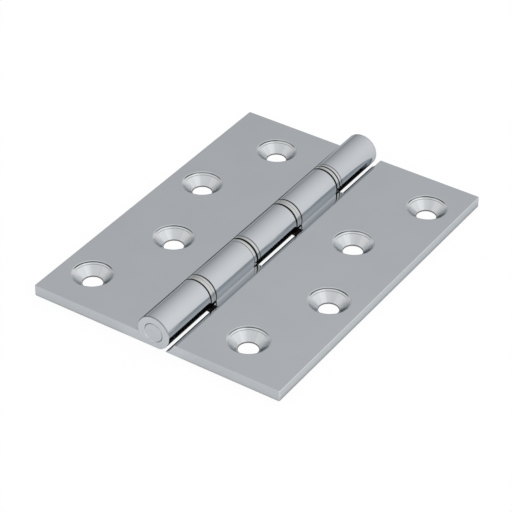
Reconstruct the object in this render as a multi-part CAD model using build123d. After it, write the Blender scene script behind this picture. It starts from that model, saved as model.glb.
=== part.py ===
from build123d import *
import math
import os

# Overall sizes in millimetres. The hinge lies open on its back, with the pin along Y and +Z up.
length = 102.0
open_width = 76.5
leaf_thickness = 3.2

# Barrel: the knuckles of both leaves in turn on one pin, with a pair of washers at each joint.
knuckle_diameter = 9.8
back_flat = 0.4           # depth of the flat that keeps the barrel flush with the backs of the leaves
pin_diameter = 5.5
joint_count = 4
joint_pitch = 20.55       # from one joint to the next; the end knuckles take the rest of the length
washer_thickness = 1.2
end_play = 0.25           # slack along the pin at each joint
split_joints = (2,)       # joints whose slack lies between the washers, not before the first of them
running_clearance = 0.05  # radial, of the moving leaf and of the washers on the pin

# Notches in a leaf's inner edge, hollowed for the other leaf's knuckles to turn in.
hollow_clearance = 0.65   # least gap to a knuckle
hollow_rise = 1.4         # centre of the hollow above the pin
notch_clearance = 1.1     # from the end of a notch to the knuckle that turns in it
pocket_clearance = 0.3    # around a washer, where a leaf runs on past its own knuckle

# Screw holes, countersunk for flat heads and staggered in two rows on each leaf.
holes_per_leaf = 4
hole_diameter = 5.5
countersink_diameter = 11.3
countersink_angle = 90.0
hole_pitch = 25.5
inner_row = 20.6          # from the pin
outer_row = 28.8

# Softened edges.
corner_chamfer = 0.3      # outer corners of a leaf, in plan
edge_round = 0.2          # ends and outer edge of a leaf, and ends of the barrel
flat_round = 2.0          # where the flat runs into the round of the barrel
rim_chamfer = 0.2         # countersink rims
knuckle_chamfer = 0.15    # knuckle ends that face a washer
pin_chamfer = 0.15        # pin ends, and the mouths of the bore around them

leaf_width = open_width / 2
knuckle_radius = knuckle_diameter / 2
pin_height = knuckle_radius - back_flat
pin_radius = pin_diameter / 2
loose_bore_radius = pin_radius + running_clearance
hollow_radius = knuckle_radius + hollow_clearance + hollow_rise
pocket_radius = knuckle_radius + pocket_clearance
joint_width = 2 * washer_thickness + end_play
near_end, far_end = -length / 2, length / 2
same_place = 0.001        # how near an edge has to be to a plane or a radius to lie on it


def along_y(section, start, end):
    """Extrude an XZ section from one Y position to another."""
    return extrude(Plane.XZ.offset(-end) * section, end - start)


def round_bar(radius, start, end):
    """Round bar on the pin's axis."""
    return along_y(Pos(0, pin_height) * Circle(radius), start, end)


def edges_at(solid, y):
    """Edges that lie in the plane across the pin at one Y position."""
    return solid.edges().filter_by_position(Axis.Y, y - same_place, y + same_place)


def is_circle(edge, radius):
    """Whether an edge is an arc or a circle of this radius."""
    return edge.geom_type == GeomType.CIRCLE and abs(edge.radius - radius) < same_place


def barrel_layout():
    """Y spans of the knuckles, and of the two washers at each joint, from the near end to the far end."""
    middles = [(index - (joint_count - 1) / 2) * joint_pitch for index in range(joint_count)]
    starts = [near_end, *(y + joint_width / 2 for y in middles)]
    ends = [*(y - joint_width / 2 for y in middles), far_end]
    washers = []
    for joint in range(1, joint_count + 1):
        last = starts[joint] - washer_thickness
        first = ends[joint - 1] if joint in split_joints else last - washer_thickness
        washers.append([(y, y + washer_thickness) for y in (first, last)])
    return list(zip(starts, ends)), washers


def barrel_section():
    """Round of a knuckle or a washer, with the flat that lies flush with the backs of the leaves."""
    below = Pos(0, -knuckle_diameter) * Rectangle(2 * knuckle_diameter, 2 * knuckle_diameter)
    section = Pos(0, pin_height) * Circle(knuckle_radius) - below
    return fillet(section.vertices().sort_by(Axis.Y)[:2], flat_round)


def knuckle(start, end):
    """One knuckle, rounded over at an end of the barrel and lightly chamfered where it faces a washer."""
    solid = along_y(barrel_section(), start, end)
    for y in (start, end):
        if y in (near_end, far_end):
            solid = fillet(edges_at(solid, y), edge_round)
        else:
            solid = chamfer(edges_at(solid, y), knuckle_chamfer)
    return solid


def plate(side, own_knuckles, other_knuckles):
    """Flat of a leaf on one side of the pin, -1 or 1 along X, with its inner edge cut to clear the barrel."""
    solid = Pos(side * leaf_width / 2, 0, leaf_thickness / 2) * Box(leaf_width, length, leaf_thickness)
    uprights = solid.edges().filter_by(Axis.Z)
    solid = chamfer([edge for edge in uprights if side * edge.center().X > same_place], corner_chamfer)
    outlines = [edge for face in solid.faces().filter_by(Axis.Z) for edge in face.edges()]
    solid = fillet([edge for edge in outlines if side * edge.center().X > same_place], edge_round)

    bounds = [near_end, *(y for span in own_knuckles for y in span), far_end]
    for start, end in zip(bounds[::2], bounds[1::2]):
        if end > start:
            solid -= round_bar(pocket_radius, start, end)
    hollow = Pos(0, pin_height + hollow_rise) * Circle(hollow_radius)
    for start, end in other_knuckles:
        solid -= along_y(hollow, start - notch_clearance, end + notch_clearance)
    return solid


def screw_hole():
    """Cutter for one countersunk hole through a leaf."""
    hole_radius, rim_radius = hole_diameter / 2, countersink_diameter / 2
    cone_depth = (rim_radius - hole_radius) / math.tan(math.radians(countersink_angle / 2))
    cone = Pos(0, 0, leaf_thickness - cone_depth / 2) * Cone(hole_radius, rim_radius, cone_depth)
    return cone + Pos(0, 0, leaf_thickness / 2) * Cylinder(hole_radius, leaf_thickness)


def leaf(side, own_knuckles, other_knuckles, bore_radius):
    """One leaf: flat and knuckles in one piece, drilled for the screws and bored for the pin."""
    solid = plate(side, own_knuckles, other_knuckles)
    for index in range(holes_per_leaf):
        row = (outer_row, inner_row)[index % 2]
        y = (index - (holes_per_leaf - 1) / 2) * hole_pitch
        solid -= Pos(side * row, -side * y) * screw_hole()
    rims = [edge for edge in solid.edges() if is_circle(edge, countersink_diameter / 2)]
    solid = chamfer(rims, rim_chamfer)

    for start, end in own_knuckles:
        solid += knuckle(start, end)
    solid -= round_bar(bore_radius, near_end, far_end)
    end_edges = edges_at(solid, near_end) + edges_at(solid, far_end)
    mouths = [edge for edge in end_edges if is_circle(edge, bore_radius)]
    return chamfer(mouths, pin_chamfer) if mouths else solid


def pin():
    """Plain pin, flush with both ends of the barrel."""
    solid = round_bar(pin_radius, near_end, far_end)
    return chamfer(edges_at(solid, near_end) + edges_at(solid, far_end), pin_chamfer)


def washer(start, end):
    """Thin ring on the pin, as wide as the knuckles and flat at the back like them."""
    return along_y(barrel_section(), start, end) - round_bar(loose_bore_radius, start, end)


knuckles, washers = barrel_layout()
odd, even = knuckles[0::2], knuckles[1::2]
parts = {
    "three_knuckle_leaf": leaf(-1, odd, even, pin_radius),
    "two_knuckle_leaf": leaf(1, even, odd, loose_bore_radius),
    "hinge_pin": pin(),
}
for joint, pair in enumerate(washers, start=1):
    for letter, span in zip("ab", pair):
        parts[f"washer_{joint}{letter}"] = washer(*span)

os.makedirs("parts", exist_ok=True)
for node, solid in parts.items():
    export_step(solid, f"parts/{node}.step")
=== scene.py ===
import math

import bpy
from mathutils import Matrix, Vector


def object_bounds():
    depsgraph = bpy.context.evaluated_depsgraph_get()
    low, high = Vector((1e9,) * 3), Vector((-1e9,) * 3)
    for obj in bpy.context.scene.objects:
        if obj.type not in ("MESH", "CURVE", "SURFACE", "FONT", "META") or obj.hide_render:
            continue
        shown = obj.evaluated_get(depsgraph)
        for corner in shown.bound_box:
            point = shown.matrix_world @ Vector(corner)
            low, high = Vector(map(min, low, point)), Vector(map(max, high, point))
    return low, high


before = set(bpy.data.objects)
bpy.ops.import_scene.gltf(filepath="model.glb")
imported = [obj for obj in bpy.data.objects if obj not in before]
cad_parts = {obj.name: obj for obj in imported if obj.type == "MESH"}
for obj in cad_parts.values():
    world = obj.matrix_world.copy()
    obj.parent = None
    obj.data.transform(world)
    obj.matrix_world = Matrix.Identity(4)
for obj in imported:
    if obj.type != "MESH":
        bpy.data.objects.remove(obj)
cad_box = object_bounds()


# Leaves: two flat plates drawn in brass in one piece with their knuckles, ground, polished and
# chrome plated. The buffing runs lengthwise, and the countersinks are turned after the plate is ground.
# The plating is rougher in the narrow slots around the barrel, and near-black shade is painted there.
# Painted shade, dark reflections and highlights also go into the chrome's colour.
class Shade:
    """A shader socket that takes Python's operators: each adds a Math node to the material."""

    def __init__(self, tree, socket):
        self.tree, self.socket = tree, socket

    def node(self, kind, settings=None, output=0, **values):
        """Adds any node: its settings are set first, then its sockets, by name or as _0, _1 and so on."""
        made = self.tree.nodes.new("ShaderNode" + kind)
        for name, value in (settings or {}).items():
            setattr(made, name, value)
        for name, value in values.items():
            key = int(name[1:]) if name[0] == "_" else name.replace("_", " ")
            if isinstance(value, Shade):
                self.tree.links.new(value.socket, made.inputs[key])
            else:
                made.inputs[key].default_value = value
        return Shade(self.tree, made.outputs[output])

    def math(self, operation, *values):
        numbered = {f"_{index}": value for index, value in enumerate(values)}
        return self.node("Math", {"operation": operation}, **numbered)

    def __add__(self, other):
        return self.math("ADD", self, other)

    def __sub__(self, other):
        return self.math("SUBTRACT", self, other)

    def __mul__(self, other):
        return self.math("MULTIPLY", self, other)

    def __rsub__(self, other):
        return self.math("SUBTRACT", other, self)

    __radd__, __rmul__ = __add__, __mul__

    def __abs__(self):
        return self.math("ABSOLUTE", self)

    def __or__(self, other):
        """The larger of two masks."""
        return self.math("MAXIMUM", self, other)

    def __and__(self, other):
        """The smaller of two masks, or of two distances."""
        return self.math("MINIMUM", self, other)

    def rise(self, low, high):
        """0 below low, 1 above high, and smooth between them."""
        settings = {"interpolation_type": "SMOOTHSTEP"}
        return self.node("MapRange", settings, Value=self, From_Min=low, From_Max=high)

    def fall(self, low, high):
        """1 below low, 0 above high, and smooth between them."""
        return 1 - self.rise(low, high)

    def band(self, low, high, soft):
        """1 between low and high, and 0 outside, over a soft edge."""
        return self.rise(low - soft, low) & self.fall(high, high + soft)

    def vector(self, operation, *others, output="Vector"):
        """This vector, with others where the operation takes them, through a Vector Math node."""
        numbered = {f"_{index}": value for index, value in enumerate((self, *others))}
        return self.node("VectorMath", {"operation": operation}, output, **numbered)

    def dot(self, other):
        return self.vector("DOT_PRODUCT", other, output="Value")

    def length(self):
        return self.vector("LENGTH", output="Value")

    def stretched(self, x, y, z):
        return self.vector("MULTIPLY", (x, y, z))

    def scaled(self, factor):
        """This vector times one number or value."""
        return self.node("VectorMath", {"operation": "SCALE"}, _0=self, Scale=factor)

    def axes(self):
        """The X, Y and Z of a vector."""
        return [self.node("SeparateXYZ", output=index, Vector=self) for index in range(3)]

    def grain(self, scale, detail=3.0):
        """Noise between 0 and 1 over this vector."""
        return self.node("TexNoise", Vector=self, Scale=scale, Detail=detail, Roughness=0.55)

    def rings(self, scale):
        """Noise between 0 and 1 along this one value, as turning leaves it."""
        return self.node("TexNoise", {"noise_dimensions": "1D"}, W=self, Scale=scale, Detail=2.0)

    def mix(self, first, second):
        """From the first colour to the second, as this value goes from 0 to 1."""
        return self.node("Mix", {"data_type": "RGBA"}, output=2, _0=self, _6=first, _7=second)


mm_per_metre = 1000.0


def metal(name, edge_tint):
    """A new polished metal: the material, its surface shader, and the object's own place in millimetres."""
    material = bpy.data.materials.new(name)
    material.use_nodes = True
    surface = material.node_tree.nodes["Principled BSDF"]
    surface.inputs["Metallic"].default_value = 1.0
    surface.inputs["Specular Tint"].default_value = (*edge_tint, 1.0)
    place = Shade(material.node_tree, None).node("TexCoord", output="Object")
    return material, surface, place.scaled(mm_per_metre)


def clouded(haze, cloud, colour):
    """A plated colour with faint darker clouds in it, as the polishing mop leaves them."""
    return haze.rise(0.3, 0.7).mix(cloud, colour)


def apply_finish(surface, **sockets):
    """Links what changes over the surface to the shader's own sockets."""
    for name, value in sockets.items():
        value.tree.links.new(value.socket, surface.inputs[name.replace("_", " ")])


chrome_colour = (0.592, 0.614, 0.640, 1.0)
chrome_cloud = (0.574, 0.596, 0.624, 1.0)
# colour of the painted highlights on the chrome
chrome_highlight = (0.730, 0.750, 0.765, 1.0)
chrome_edge_tint = (0.50, 0.54, 0.56)
turned_colour = (0.660, 0.678, 0.696, 1.0)
# colours of the painted highlights and painted shade streaks in the turned countersinks
turned_highlight = (0.900, 0.910, 0.920, 1.0)
turned_shade = (0.480, 0.500, 0.520, 1.0)
# colour of the dull bores and rings, and of painted shade on the leaves
dull_and_shade_colour = (0.160, 0.160, 0.160, 1.0)
# colour of the painted near-black shade in slots and gaps
slot_shade_colour = (0.028, 0.024, 0.020, 1.0)
# colour of the painted shade in the seams and of the painted dark line at the countersink rims
seam_and_rim_shade_colour = (0.030, 0.030, 0.030, 1.0)
chrome_roughness, turned_roughness, slot_roughness = 0.055, 0.20, 0.35

# Sizes in millimetres. Heights are from the backs of the leaves.
leaf_width, half_length, barrel_top = (round(size * mm_per_metre, 3) for size in cad_box[1])
leaf_thickness = 3.2
knuckle_radius = 4.9
pin_height = barrel_top - knuckle_radius
slot_reach = 6.6  # from the pin, just past the outer edges of the slots
edge_tone_reach = 14.0  # from the pin, where the leaves' edges have their full tone
hole_rows, hole_pitch, holes_per_leaf = (28.8, 20.6), 25.5, 4
hole_radius, rim_radius = 2.75, 5.65
cone_foot = leaf_thickness - (rim_radius - hole_radius)
# radii of the painted dark reflection line, the glint and the darker tool line at each rim
rim_reflection_line_radii, rim_glint_radii, tool_line_reflection_radii = (5.36, 5.58), (5.12, 5.28), (4.94, 5.05)
dark_reflection_patch_at = (3.7, 0.0, 0.0)  # from the middle of each hole
# direction from each hole to the side where its rim's reflections are painted
reflection_side_towards = (-0.54, 0.84, 0.0)
# direction of the painted highlights on the countersinks' sides
flank_highlight_direction = (0.707, 0.707, 0.0)
far_away = 100.0
openness_reach, edge_softness, buffing_depth = 0.004, 0.00025, 0.00002  # in metres, as the nodes take them

chrome, chrome_surface, place = metal("polished_chrome", chrome_edge_tint)
x, y, z = place.axes()
off_axis = place.stretched(1, 0, 1).vector("SUBTRACT", (0, 0, pin_height))
from_pin = off_axis.length()
openness = place.node("AmbientOcclusion", {"samples": 16}, output="AO", Distance=openness_reach)

arm, from_hole = (0.0, 0.0, 0.0), far_away
for side in (-1, 1):
    for index in range(holes_per_leaf):
        along = -side * (index - (holes_per_leaf - 1) / 2) * hole_pitch
        centre = (side * hole_rows[index % 2], along, 0.0)
        offset = place.stretched(1, 1, 0).vector("SUBTRACT", centre)
        reach = offset.length()
        close = reach.fall(rim_radius + 0.85, rim_radius + 1.35)
        arm = offset.scaled(close).vector("ADD", arm)
        from_hole = reach & from_hole
above_drilling = z.rise(cone_foot - 0.15, cone_foot - 0.02)
countersunk = from_hole.fall(rim_radius - 0.15, rim_radius + 0.01) & above_drilling
low_in_hole = z.fall(cone_foot + 0.20, cone_foot + 0.30)
drilled = from_hole.fall(hole_radius + 0.05, hole_radius + 0.11) & low_in_hole
# The far side of each countersink rim, where its reflections are painted.
rim_reflection_side = arm.dot(reflection_side_towards).rise(1.2, 3.2) & z.rise(leaf_thickness - 1.2, leaf_thickness - 1.0)
arm_x, arm_y = arm.axes()[:2]
# Turning marks round each countersink, painted as bright and dark reflection streaks.
chatter_reflection_streaks = arm_x.math("ARCTAN2", arm_x, arm_y).rings(2.2)
# Painted highlight on the countersinks' sides towards one fixed direction.
flank_highlight = abs(arm.vector("NORMALIZE").dot(flank_highlight_direction)).rise(0.72, 0.97) & countersunk
# Painted dark reflection patch in each countersink, off to one side of the hole.
dark_reflection_patch = arm.vector("DISTANCE", dark_reflection_patch_at, output="Value").fall(0.4, 2.1) & countersunk
uneven = place.grain(0.22, 1.0).rise(0.38, 0.62)
# Painted reflections at the far side of each rim: a dark line at the rim, a glint inside it, and a darker
# line where a turned step shows.
rim_reflection_line = (from_hole.band(*rim_reflection_line_radii, 0.04) & rim_reflection_side) * (0.70 + uneven * 0.30)
rim_glint = (from_hole.band(*rim_glint_radii, 0.05) & rim_reflection_side) * (1 - uneven * 0.5)
tool_line_reflection = from_hole.band(*tool_line_reflection_radii, 0.04) & rim_reflection_side

seams = (  # where along the pin, half of the width, and how dark
    (-31.98, 0.22, 0.90), (-30.70, 0.10, 0.45), (-29.64, 0.25, 1.00),
    (-11.62, 0.12, 0.35), (-10.28, 0.40, 1.00), (-8.90, 0.20, 0.75),
    (9.22, 0.24, 1.00), (10.42, 0.10, 0.45), (11.60, 0.24, 1.00),
    (29.76, 0.24, 1.00), (31.16, 0.25, 1.00), (32.32, 0.20, 0.65),
)
seam_core, seam_fade = 0.7, 0.08


def seam_shade(along):
    """Painted shade lines where knuckles and washers meet, as a mask over the way along the pin."""
    lines = 0.0
    for middle, half_width, darkness in seams:
        line = abs(along - middle).fall(half_width * seam_core, half_width + seam_fade)
        lines = line * darkness + lines
    return lines


on_barrel = from_pin.fall(knuckle_radius + 0.01, knuckle_radius + 0.07)
on_round = from_pin.band(knuckle_radius - 0.022, knuckle_radius + 0.006, 0.006)
inside_ends = abs(y).fall(half_length - 0.40, half_length - 0.30)
at_end = abs(y).rise(half_length - 0.32, half_length - 0.24)
at_rim = from_pin.rise(knuckle_radius - 0.24, knuckle_radius - 0.16) & on_barrel
# Painted dark line round the upper part of the rim at each barrel end.
barrel_rim_shade = at_end & at_rim & z.rise(pin_height + 1.0, pin_height + 2.5)
# Painted highlight on the low side of the barrel, just above the leaves.
low_barrel_highlight = on_round & z.fall(pin_height - 0.9, pin_height - 0.1)

facing_side, facing_end, facing_up = (abs(axis) for axis in place.node("TexCoord", output="Normal").axes())
on_top = z.rise(leaf_thickness - 0.10, leaf_thickness - 0.04)
on_end = facing_end.rise(0.4, 0.6)
beyond_slots = abs(x).rise(slot_reach + 0.2, edge_tone_reach)
# Painted shadow darkening the lower part of the side and end faces, strongest at the bottom edge.
lower_edge_shade = z.fall(0.0, 1.2) & facing_up.fall(0.3, 0.6) & beyond_slots
foot_shadow_line = z.fall(0.10, 0.40) & facing_up.fall(0.6, 0.9) & beyond_slots
# Painted shade that makes the end faces slightly darker.
end_face_shade = on_end & beyond_slots & (1 - countersunk)
at_long_edge = abs(x).rise(leaf_width - 0.35, leaf_width - 0.25)
# Painted highlight on the middle of the long side faces.
long_edge_highlight = facing_side.rise(0.4, 0.6) & at_long_edge & z.rise(0.5, 2.0)
near_barrel = from_pin.fall(knuckle_radius + 0.7, knuckle_radius + 1.5)
# Painted shade on the leaf tops along the bottom of the barrel.
barrel_junction_shade = from_pin.rise(knuckle_radius + 0.02, knuckle_radius + 0.06) & near_barrel & on_top

clear_of_barrel = from_pin.rise(knuckle_radius + 0.07, knuckle_radius + 0.12)
slot_span = clear_of_barrel & abs(x).fall(slot_reach, slot_reach + 0.1)
slot_wall = slot_span & (z.fall(0.3, 0.9) | (on_end & (1 - on_top))) & inside_ends
# Painted near-black shade where the surface is closed in, and on the slot walls, from ambient occlusion.
closed_in_shade = openness.fall(0.0, 0.12) * 0.95 & (1 - countersunk)
slot_shade = closed_in_shade | (slot_wall & openness.fall(0.45, 0.85))

buffing = place.stretched(9.0, 0.25, 9.0).grain(1.0, 4.0)
haze = place.grain(0.07, 4.0)
turned = from_hole.rings(5.0)
plain_normal = place.node("NewGeometry", output="Normal")
soft_normal = place.node("Bevel", {"samples": 6}, Radius=edge_softness)
edge = (1 - soft_normal.dot(plain_normal)).rise(0.01, 0.12) & openness.rise(0.5, 0.7)
# Edge wear, painted as a brighter highlight along convex edges, patchy with noise.
wear_and_edge_highlight = edge * place.grain(0.9).rise(0.35, 0.75) * 0.5

colour = clouded(haze, chrome_cloud, chrome_colour)
colour = (countersunk * (0.6 + turned * 0.6)).mix(colour, turned_colour)
# Painted highlights and dark reflection streaks in the countersinks.
colour = (flank_highlight * 0.9 | countersunk * chatter_reflection_streaks.rise(0.45, 0.80) * 0.5).mix(colour, turned_highlight)
colour = (countersunk * chatter_reflection_streaks.fall(0.20, 0.55) * 0.5).mix(colour, turned_shade)
# Painted highlights: edges, glints inside the rims, the low side of the barrel and the long side faces.
colour = (wear_and_edge_highlight | rim_glint * 0.9 | low_barrel_highlight | long_edge_highlight * 0.7).mix(colour, chrome_highlight)
# Painted shadow and shade, painted dark reflections, and the dull drilled bores.
colour = (foot_shadow_line * 0.60 | lower_edge_shade * 0.32 | end_face_shade * 0.10 | barrel_junction_shade * 0.12).mix(colour, dull_and_shade_colour)
colour = (tool_line_reflection * 0.6 | dark_reflection_patch * 0.75 | drilled * 0.9 | barrel_rim_shade * 0.7).mix(colour, dull_and_shade_colour)
# Painted dark reflection line at the countersink rims, and painted shade in the seams on the barrel.
colour = (rim_reflection_line * 0.95 | (seam_shade(y) & on_barrel)).mix(colour, seam_and_rim_shade_colour)
# Painted shade in the slots.
colour = slot_shade.mix(colour, slot_shade_colour)
roughness = chrome_roughness + haze.rise(0.35, 0.75) * 0.03 + buffing * 0.03
roughness = roughness + countersunk * turned_roughness + slot_shade * slot_roughness

to_world = {"vector_type": "NORMAL", "convert_from": "OBJECT", "convert_to": "WORLD"}
round_normal = place.node("VectorTransform", to_world, Vector=off_axis.vector("NORMALIZE"))
as_vectors = {"data_type": "VECTOR"}
true_round = place.node("Mix", as_vectors, output=1, _0=on_round, _4=plain_normal, _5=round_normal)
height = buffing * 0.35 + countersunk * turned * 2.0
bump = place.node("Bump", Strength=0.10, Distance=buffing_depth, Height=height, Normal=true_round)
apply_finish(chrome_surface, Base_Color=colour, Roughness=roughness, Normal=bump)

for name in ("three_knuckle_leaf", "two_knuckle_leaf"):
    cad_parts[name].material_slots[0].material = chrome


# Pin: a plain steel rod pressed through the knuckles, its ends faced off and polished flush with
# the barrel, so that only a fine ring shows where it meets the bore.
pin_colour = (0.590, 0.612, 0.635, 1.0)
pin_cloud = (0.550, 0.575, 0.600, 1.0)
pin_roughness = 0.07
pin_radius = 2.75
facing_depth = 0.00002  # in metres

steel, steel_surface, place = metal("plated_steel", chrome_edge_tint)
from_pin = place.stretched(1, 0, 1).vector("DISTANCE", (0, 0, pin_height), output="Value")
faced = from_pin.rings(4.0)
haze = place.grain(0.6, 4.0)
fine_ring = from_pin.rise(pin_radius - 0.17, pin_radius - 0.09)
colour = clouded(haze, pin_cloud, pin_colour)
colour = (fine_ring * 0.6).mix(colour, dull_and_shade_colour)
roughness = pin_roughness + haze * 0.05 + faced * 0.04
bump = place.node("Bump", Strength=0.12, Distance=facing_depth, Height=faced)
apply_finish(steel_surface, Base_Color=colour, Roughness=roughness, Normal=bump)

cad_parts["hinge_pin"].material_slots[0].material = steel


# Washers: eight thin bright rings, two at each joint, parted off a turned bar and buffed with the
# barrel. Fine turning marks run round them. Shade is painted along the lines where they meet the
# knuckles and each other and in the gaps, where they are also rougher, and a highlight band is
# painted near each face.
washer_colour = (0.622, 0.632, 0.632, 1.0)
washer_cloud = (0.585, 0.598, 0.602, 1.0)
washer_highlight = (0.740, 0.746, 0.742, 1.0)
washer_edge_tint = (0.65, 0.65, 0.64)
washer_roughness, gap_roughness = 0.12, 0.3
washer_thickness = 1.2
joint_count = 4
gap_reach, turning_depth = 0.002, 0.00004  # in metres

bright, bright_surface, place = metal("turned_bright_metal", washer_edge_tint)
across = place.node("TexCoord", output="Generated").axes()[1] * washer_thickness
to_face = across & (washer_thickness - across)
turned = place.stretched(0.05, 12.0, 0.05).grain(1.0, 2.0)
haze = place.grain(0.35, 3.0)
openness = place.node("AmbientOcclusion", {"samples": 8}, output="AO", Distance=gap_reach)
# Painted near-black shade in the gaps between washers and knuckles, from ambient occlusion.
gap_shade = openness.fall(0.06, 0.30)
colour = clouded(haze, washer_cloud, washer_colour)
# Painted highlight band near each face of the washers.
colour = (to_face.band(0.14, 0.26, 0.05) * 0.7).mix(colour, washer_highlight)
# Painted shade lines where the washers meet the knuckles and each other.
colour = seam_shade(place.axes()[1]).mix(colour, seam_and_rim_shade_colour)
colour = gap_shade.mix(colour, slot_shade_colour)
roughness = washer_roughness + haze * 0.06 + gap_shade * gap_roughness
bump = place.node("Bump", Strength=0.18, Distance=turning_depth, Height=turned)
apply_finish(bright_surface, Base_Color=colour, Roughness=roughness, Normal=bump)

for joint in range(1, joint_count + 1):
    for letter in "ab":
        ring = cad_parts[f"washer_{joint}{letter}"]
        ring.material_slots[0].material = bright


# Studio: a pale sheet under the hinge and a soft light tent around it, brightest high on the right,
# darker at the back left and around the camera. The sheet is almost white, with a faint shadow.
sheet_size, sheet_drop = 6.0, 0.00005  # in metres
sheet_colour = (0.90, 0.90, 0.90, 1.0)
sheet_roughness = 0.9
white = (1.0, 1.0, 1.0, 1.0)
white_share, white_share_in_metal, white_strength = 0.90, 0.48, 1.02

bpy.ops.mesh.primitive_plane_add(size=sheet_size, location=(0.0, 0.0, -sheet_drop))
floor = bpy.context.object
floor.name = "pale_sheet"
sheet = bpy.data.materials.new("pale_sheet")
sheet.use_nodes = True
tree = sheet.node_tree
paper = tree.nodes["Principled BSDF"]
paper.inputs["Base Color"].default_value = sheet_colour
paper.inputs["Roughness"].default_value = sheet_roughness
paper.inputs["Specular IOR Level"].default_value = 0.0
rays = ("Is Camera Ray", "Is Glossy Ray", "Is Transmission Ray")
seen, in_metal, in_glass = (Shade(tree, None).node("LightPath", output=ray) for ray in rays)
share = seen * white_share + (in_metal + in_glass) * white_share_in_metal
glow = share.node("Emission", Color=white, Strength=white_strength)
both = share.node("MixShader", _0=share, _1=Shade(tree, paper.outputs[0]), _2=glow)
tree.links.new(both.socket, tree.nodes["Material Output"].inputs["Surface"])
floor.data.materials.append(sheet)

tent_bright = (1.22, 1.22, 1.22, 1.0)
tent_dark = (0.38, 0.38, 0.385, 1.0)
tent_towards = (0.75, -0.35, 0.45)
camera_side = (0.30, -0.57, 0.765)
camera_gap, camera_gap_depth = (0.86, 0.99), 0.34

world = bpy.data.worlds.new("light_tent")
bpy.context.scene.world = world
world.use_nodes = True
around = Shade(world.node_tree, None).node("TexCoord", output="Generated")
gap = around.dot(camera_side).rise(*camera_gap) * camera_gap_depth
light = (around.dot(tent_towards) * 0.5 + 0.5 - gap).mix(tent_dark, tent_bright)
world.node_tree.links.new(light.socket, world.node_tree.nodes["Background"].inputs["Color"])

picture_pixels, focal_pixels = 512, 2208.31
sensor_width = 36.0
camera_turn, camera_climb, camera_roll = 32.8143, 36.4806, 1.0686  # in degrees
camera_shift = (-0.0019555, -0.0018106, 0.5972548)  # in metres: right, up and back from the origin

camera = bpy.data.objects.new("camera", bpy.data.cameras.new("camera"))
bpy.context.scene.collection.objects.link(camera)
camera.data.sensor_width = sensor_width
camera.data.lens = focal_pixels / picture_pixels * sensor_width
camera.data.clip_start = 0.01
turn = Matrix.Rotation(math.radians(camera_turn), 4, "Z")
tilt = Matrix.Rotation(math.radians(90 - camera_climb), 4, "X")
roll = Matrix.Rotation(math.radians(camera_roll), 4, "Z")
camera.matrix_world = turn @ tilt @ roll @ Matrix.Translation(camera_shift)
bpy.context.scene.camera = camera
bpy.context.scene.view_settings.view_transform = "Standard"
